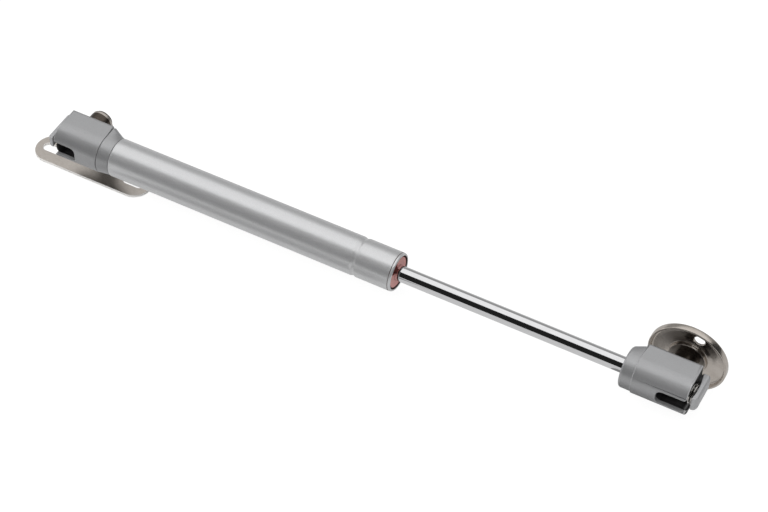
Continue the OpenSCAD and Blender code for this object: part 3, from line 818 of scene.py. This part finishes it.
def make_wall_plate():
    trough = [(14.62, 7.2, 0.35), (14.86, 9.0, 2.5), (14.86, 11.6, 2.5), (14.62, 13.7, 0.9)]
    plate = lathe("wall_plate_pressing", [
        (SEAT, STUD_HOLE_R, 0.05), (SEAT, MIDDLE_R, 0.25), *trough, (SEAT, 13.95, 0.3),
        (SEAT, PLATE_R, 0.35), (BACK, PLATE_R, 0.7), (BACK, 6.3, 0.4), (SEAT_BACK, 6.2, 0.2),
        (SEAT_BACK, STUD_HOLE_R, 0.05),
    ], on_plate, 192)
    for turn in HOLE_TURNS:
        drill = make_drill(turn)
        cutting = plate.modifiers.new("cut", "BOOLEAN")
        cutting.operation, cutting.solver, cutting.object = "DIFFERENCE", "EXACT", drill
        apply_modifiers(plate)
        bpy.data.objects.remove(drill)
    return take_place(plate, "wall_plate")


wall_plate = make_wall_plate()
print("wall plate", len(wall_plate.data.polygons), "faces")

# %% [markdown]
# The collar leads from the D of the socket to the round tube. Its solid is made
# of flat facets, and here it is a true loft: each ring blends the two outlines by
# the angle round the axis, and the ends turn in with a small round.

# %% Smooth collar
COLLAR_INSET, COLLAR_EDGE, COLLAR_STEPS = 0.15, 0.2, 10
COLLAR_CORNER, COLLAR_BORE = 9.98, 5.1


def collar_rows():
    """Place, blend from the D to the round and growth of each ring of the loft."""
    start, end = (corner[0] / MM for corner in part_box("transition_collar"))
    edge, steps = COLLAR_EDGE, COLLAR_STEPS
    rows = [(start, 0, -edge), (start + 0.3 * edge, 0, -0.3 * edge)]
    for i in range(steps + 1):
        rows.append((start + edge + (end - start - 2 * edge) * i / steps, i / steps, 0))
    return rows + [(end - 0.3 * edge, 1, -0.3 * edge), (end, 1, -edge)]


def make_collar(segments=160):
    shape = bmesh.new()
    angles = [2 * math.pi * i / segments for i in range(segments)]
    rows = collar_rows()
    rings = []
    for along, blend, grow in rows:
        ring = []
        for angle in angles:
            reach = min(skin_reach(angle), COLLAR_CORNER) - COLLAR_INSET
            reach += (TUBE_R - COLLAR_INSET - reach) * blend + grow
            ring.append(shape.verts.new(on_strut(along * MM, reach * MM, angle)))
        rings.append(ring)
    for along in (rows[-1][0], rows[0][0]):
        rings.append([shape.verts.new(on_strut(along * MM, COLLAR_BORE * MM, angle)) for angle in angles])
    join_rings(shape, rings)
    return take_place(add_piece("collar", shape), "transition_collar")


collar = make_collar()
print("collar", len(collar.data.polygons), "faces")

# %% [markdown]
# The latch springs are coils of round wire. Geometry Nodes wind them: a spiral
# is swept with a circle, moved to its middle and laid along the strut. The
# inputs are the wire, the coil's radius, its length and its turns, and one tree
# winds both springs. A spiral could be made in mesh code too, but in a tree its
# turns and wire can be changed while looking at it.

# %% Tree for a coil spring


def make_coil_group():
    group, start, end = new_group("coil_spring", "GeometryNodeTree", [
        ("Wire radius", "NodeSocketFloat", 0.0003),
        ("Coil radius", "NodeSocketFloat", 0.0037),
        ("Length", "NodeSocketFloat", 0.003),
        ("Turns", "NodeSocketFloat", 3.0),
        ("Centre", "NodeSocketVector", (0.0, 0.0, 0.0)),
        ("Material", "NodeSocketMaterial", None),
    ], [("Geometry", "NodeSocketGeometry")])
    spiral = add_node(group, "GeometryNodeCurveSpiral", Resolution=48, Rotations=start.outputs["Turns"],
                      Start_Radius=start.outputs["Coil radius"], End_Radius=start.outputs["Coil radius"],
                      Height=start.outputs["Length"])
    ring = add_node(group, "GeometryNodeCurvePrimitiveCircle", Resolution=16,
                    Radius=start.outputs["Wire radius"])
    wire = add_node(group, "GeometryNodeCurveToMesh", Curve=spiral.outputs[0], Profile_Curve=ring.outputs[0])
    wire.inputs["Fill Caps"].default_value = True
    half = add_node(group, "ShaderNodeMath", i0=start.outputs["Length"], i1=-0.5)
    half.operation = "MULTIPLY"
    back = add_node(group, "ShaderNodeCombineXYZ", Z=half.outputs[0])
    centred = add_node(group, "GeometryNodeTransform", Geometry=wire.outputs[0], Translation=back.outputs[0])
    laid = add_node(group, "GeometryNodeTransform", Geometry=centred.outputs[0],
                    Translation=start.outputs["Centre"])
    laid.inputs["Rotation"].default_value = (0, math.pi / 2, 0)
    smooth = add_node(group, "GeometryNodeSetShadeSmooth", Geometry=laid.outputs[0])
    real = add_node(group, "GeometryNodeRealizeInstances", Geometry=smooth.outputs[0])
    dressed = add_node(group, "GeometryNodeSetMaterial", Geometry=real.outputs[0],
                       Material=start.outputs["Material"])
    group.links.new(dressed.outputs[0], end.inputs[0])
    return group


coil_group = make_coil_group()
print("group", coil_group.name, "with", len(coil_group.nodes), "nodes")

# %% [markdown]
# An input of the modifier is set by its socket's identifier, before the object
# is looked at for the first time. The result is then kept as a plain mesh. Each
# spring takes its place, length and radius from the box of its solid.

# %% Coil springs


def grow(name, group, **inputs):
    """Runs a Geometry Nodes group and returns its result as one plain mesh object."""
    seed = bpy.data.objects.new(name, bpy.data.meshes.new(name))
    bpy.context.collection.objects.link(seed)
    modifier = seed.modifiers.new("grow", "NODES")
    modifier.node_group = group
    for item in group.interface.items_tree:
        key = item.name.replace(" ", "_")
        if item.in_out == "INPUT" and key in inputs:
            modifier[item.identifier] = inputs[key]
    apply_modifiers(seed)
    seed.data.name = name
    return seed


SPRING_WIRE = 0.3 * MM
SPRING_PITCH = 1.05 * MM
for name in ("tube_spring", "rod_spring"):
    low, high = (Vector(corner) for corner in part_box(name))
    length = high.x - low.x - 2 * SPRING_WIRE
    coil = grow(name + "_coil", coil_group, Wire_radius=SPRING_WIRE,
                Coil_radius=(high.z - low.z) / 2 - SPRING_WIRE, Length=length, Turns=length / SPRING_PITCH,
                Centre=(low + high) / 2, Material=spring_steel)
    take_place(coil, name)
    print(coil.name, len(coil.data.polygons), "faces")

# %% [markdown]
# The studio is a tent of cards that only reflections see. A polished rod shows
# nothing but its surroundings: the black line along it is a black card in front
# of the strut, the white line is a soft box overhead, and the grey edge is the
# back wall. These three are strips of one big tube that lies along the strut,
# given by the angle at which each stands.

# %% Tent of cards
TENT_MIDDLE, TENT_R, TENT_HALF_LENGTH, TENT_STEPS = 0.12, 1.1, 2.5, 16


def card_material(name, strength):
    """A white glow of a given strength."""
    material = bpy.data.materials.new(name)
    material.use_nodes = True
    tree = material.node_tree
    tree.nodes.clear()
    glow = add_node(tree, "ShaderNodeEmission", Color=(1, 1, 1, 1), Strength=strength)
    out = tree.nodes.new("ShaderNodeOutputMaterial")
    tree.links.new(glow.outputs[0], out.inputs[0])
    return material


def hang_card(name, mesh, strength):
    """Hangs a mesh up as a card that shows only in reflections."""
    card = bpy.data.objects.new(name, mesh)
    bpy.context.collection.objects.link(card)
    dress(card, card_material(name, strength))
    card.visible_camera = card.visible_diffuse = card.visible_shadow = False


def make_strip(name, start_deg, end_deg, strength):
    """A strip of the tent. Its angles run from the front, over the top, to the back."""
    shape = bmesh.new()
    rows = []
    for i in range(TENT_STEPS + 1):
        angle = math.radians(start_deg + (end_deg - start_deg) * i / TENT_STEPS)
        y, z = -TENT_R * math.cos(angle), TENT_R * math.sin(angle)
        rows.append([shape.verts.new((TENT_MIDDLE + x, y, z)) for x in (-TENT_HALF_LENGTH, TENT_HALF_LENGTH)])
    for low, high in zip(rows, rows[1:]):
        shape.faces.new((low[0], low[1], high[1], high[0]))
    mesh = bpy.data.meshes.new(name)
    shape.to_mesh(mesh)
    shape.free()
    hang_card(name, mesh, strength)


make_strip("front_card", -1, 68, strength=0.015)
make_strip("soft_box", 68, 136, strength=0.95)
make_strip("back_card", 136, 181, strength=0.32)
print("three strips up")

# %% [markdown]
# Flat cards do the rest. A dark one stands across the far end, beyond the wall
# plate. Two small ones lie on the floor, one in front of the tube and one beside
# the plate, and darken the lowest bands of both, as the strut's own shade does.

# %% Flat cards
FLOOR_Z = -0.0004
SHADE_STRENGTH = 0.25


def make_flat_card(name, corners, strength):
    mesh = bpy.data.meshes.new(name)
    mesh.from_pydata(corners, [], [(0, 1, 2, 3)])
    hang_card(name, mesh, strength)


def make_floor_shade(name, start, end, front, back):
    """A dark card that lies just above the floor, from start to end along the strut."""
    height = FLOOR_Z / 2
    corners = [(start, front, height), (end, front, height), (end, back, height), (start, back, height)]
    make_flat_card(name, corners, SHADE_STRENGTH)


make_flat_card("end_card", [(TENT_R, -TENT_R, 0), (TENT_R, TENT_R, 0), (TENT_R, TENT_R, TENT_R),
                            (TENT_R, -TENT_R, TENT_R)], strength=0.03)
make_floor_shade("tube_shade", start=0.002, end=0.126, front=-0.1, back=-0.028)
make_floor_shade("plate_shade", start=0.218, end=0.24, front=-0.03, back=-0.002)
print("flat cards up")

# %% [markdown]
# The floor looks plain white to the camera and keeps a trace of the shadow,
# because part of its colour is an ordinary matt white that the lamp lights.
# Mirrors and glass see an even, slightly dimmer floor. The Light Path node tells
# these rays apart.

# %% Floor
FLOOR_HALF = 4
GLOW_SHARE, CAMERA_GLOW, MIRROR_GLOW = 0.8, 1.15, 0.62


def make_floor():
    corners = [(x * FLOOR_HALF, y * FLOOR_HALF, FLOOR_Z) for x, y in ((-1, -1), (1, -1), (1, 1), (-1, 1))]
    mesh = bpy.data.meshes.new("floor")
    mesh.from_pydata(corners, [], [(0, 1, 2, 3)])
    floor = bpy.data.objects.new("floor", mesh)
    bpy.context.collection.objects.link(floor)
    material = bpy.data.materials.new("white_floor")
    material.use_nodes = True
    tree = material.node_tree
    shader = tree.nodes["Principled BSDF"]
    shader.inputs["Base Color"].default_value = (0.82, 0.82, 0.82, 1)
    shader.inputs["Roughness"].default_value = 0.9
    shader.inputs["Specular IOR Level"].default_value = 0.0
    rays = tree.nodes.new("ShaderNodeLightPath")
    glow = add_node(tree, "ShaderNodeEmission", Color=(1, 1, 1, 1), Strength=CAMERA_GLOW)
    dim = add_node(tree, "ShaderNodeEmission", Color=(1, 1, 1, 1), Strength=MIRROR_GLOW)
    lit = add_node(tree, "ShaderNodeMixShader", i0=GLOW_SHARE, i1=shader.outputs[0], i2=glow.outputs[0])
    seen = add_node(tree, "ShaderNodeMixShader", i0=rays.outputs["Is Camera Ray"], i1=shader.outputs[0],
                    i2=lit.outputs[0])
    mirror = add_node(tree, "ShaderNodeMath", i0=rays.outputs["Is Glossy Ray"],
                      i1=rays.outputs["Is Transmission Ray"])
    mirror.operation = "MAXIMUM"
    final = add_node(tree, "ShaderNodeMixShader", i0=mirror.outputs[0], i1=seen.outputs[0], i2=dim.outputs[0])
    tree.links.new(final.outputs[0], tree.nodes["Material Output"].inputs[0])
    dress(floor, material)


make_floor()
print("floor laid")

# %% [markdown]
# The world is white to the camera and to mirrors, and gives the strut a weak,
# even light from all round. One large lamp above and in front does the rest. It
# has no place in reflections, where the soft box stands for it.

# %% World and lamp
FILL_LIGHT = 0.3


def make_world():
    world = bpy.data.worlds.new("studio")
    bpy.context.scene.world = world
    world.use_nodes = True
    tree = world.node_tree
    fill = tree.nodes["Background"]
    fill.inputs["Color"].default_value = (1, 1, 1, 1)
    fill.inputs["Strength"].default_value = FILL_LIGHT
    white = add_node(tree, "ShaderNodeBackground", Color=(1, 1, 1, 1), Strength=1.0)
    rays = tree.nodes.new("ShaderNodeLightPath")
    seen = add_node(tree, "ShaderNodeMath", i0=rays.outputs["Is Camera Ray"],
                    i1=rays.outputs["Is Glossy Ray"])
    seen.operation = "MAXIMUM"
    through = add_node(tree, "ShaderNodeMath", i0=seen.outputs[0], i1=rays.outputs["Is Transmission Ray"])
    through.operation = "MAXIMUM"
    mix = add_node(tree, "ShaderNodeMixShader", i0=through.outputs[0], i1=fill.outputs[0],
                   i2=white.outputs[0])
    tree.links.new(mix.outputs[0], tree.nodes["World Output"].inputs[0])


def add_lamp(name, place, aim, size, power):
    lamp = bpy.data.objects.new(name, bpy.data.lights.new(name, "AREA"))
    bpy.context.collection.objects.link(lamp)
    lamp.data.shape = "RECTANGLE"
    lamp.data.size, lamp.data.size_y = size
    lamp.data.energy = power
    lamp.location = place
    lamp.rotation_euler = (Vector(aim) - Vector(place)).to_track_quat("-Z", "Y").to_euler()
    lamp.visible_glossy = False


make_world()
add_lamp("top_lamp", place=(0.12, -0.35, 0.9), aim=(0.12, 0, 0.02), size=(1.2, 0.7), power=9.5)
print("world and lamp up")

# %% [markdown]
# Last, the scene shows its colours through the Standard view, as they are set.

# %% Standard view
bpy.context.scene.view_settings.view_transform = "Standard"
